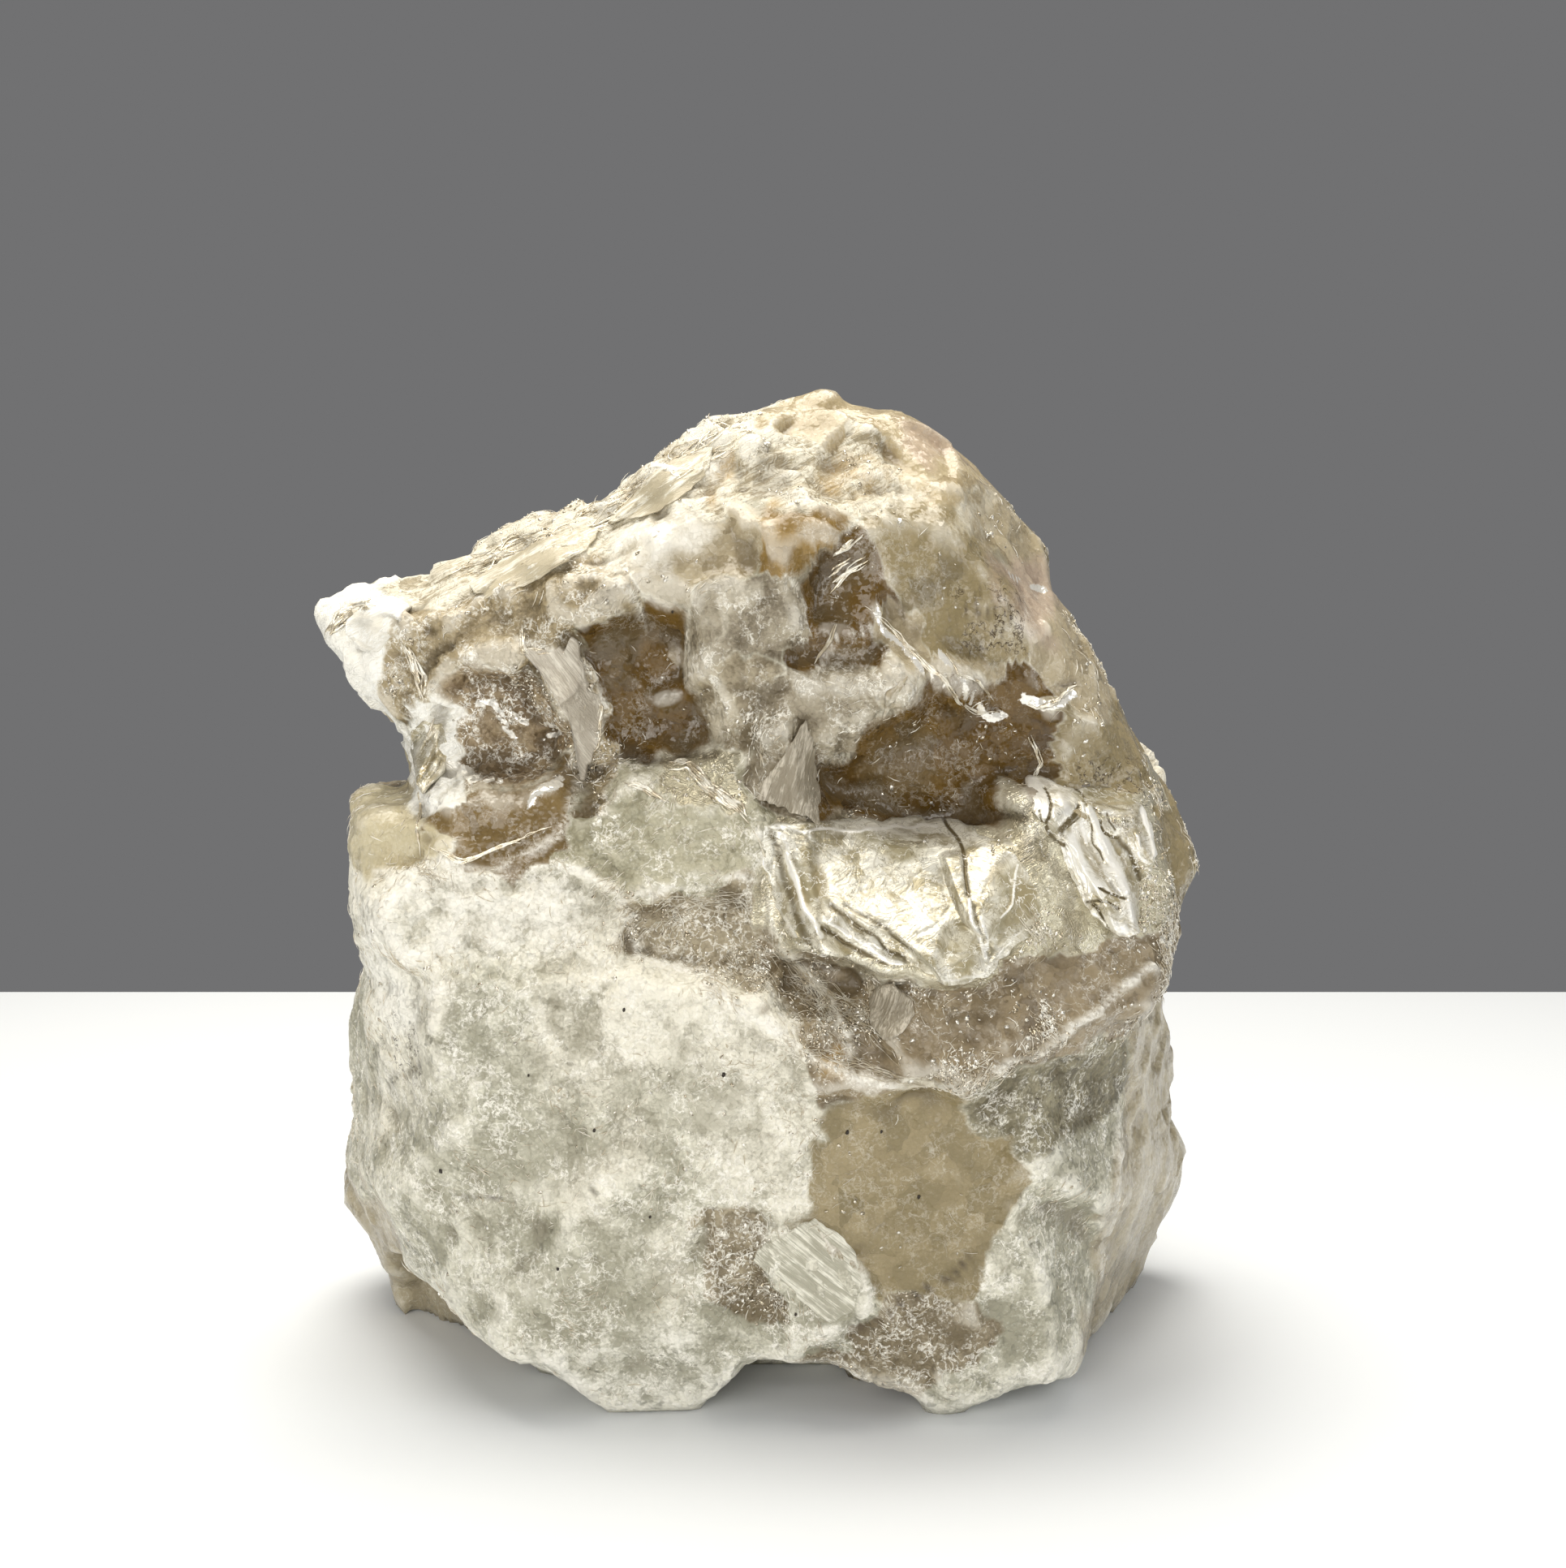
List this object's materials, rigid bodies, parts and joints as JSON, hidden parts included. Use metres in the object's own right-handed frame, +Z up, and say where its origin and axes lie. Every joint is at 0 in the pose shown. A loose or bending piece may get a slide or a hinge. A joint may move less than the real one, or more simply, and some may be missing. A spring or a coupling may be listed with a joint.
{
  "type": "pegmatite mineral specimen of albite, smoky quartz and mica",
  "caption": "Broken lump of pegmatite: sugary white albite grown together with smoky quartz and silvery mica books, with a flat underside that it stands on",
  "frame": {"origin": "middle of the underside's bounding box", "axes": "+Z up along the lump's height, its longest extent; the showing face with the mica books looks along -Y; +X is to its right"},
  "size_m": [0.032, 0.023, 0.0337],
  "materials": {
    "albite": "sugary fine-grained break, matt with a faint waxy shine",
    "quartz": "smoky, tan to brown, slightly see-through, glassy breaks",
    "mica": "silvery, foil-like cleavage sheets with a pearly shine"
  },
  "bodies": {
    "root": {"specimen": "albite"}
  },
  "joints": []
}
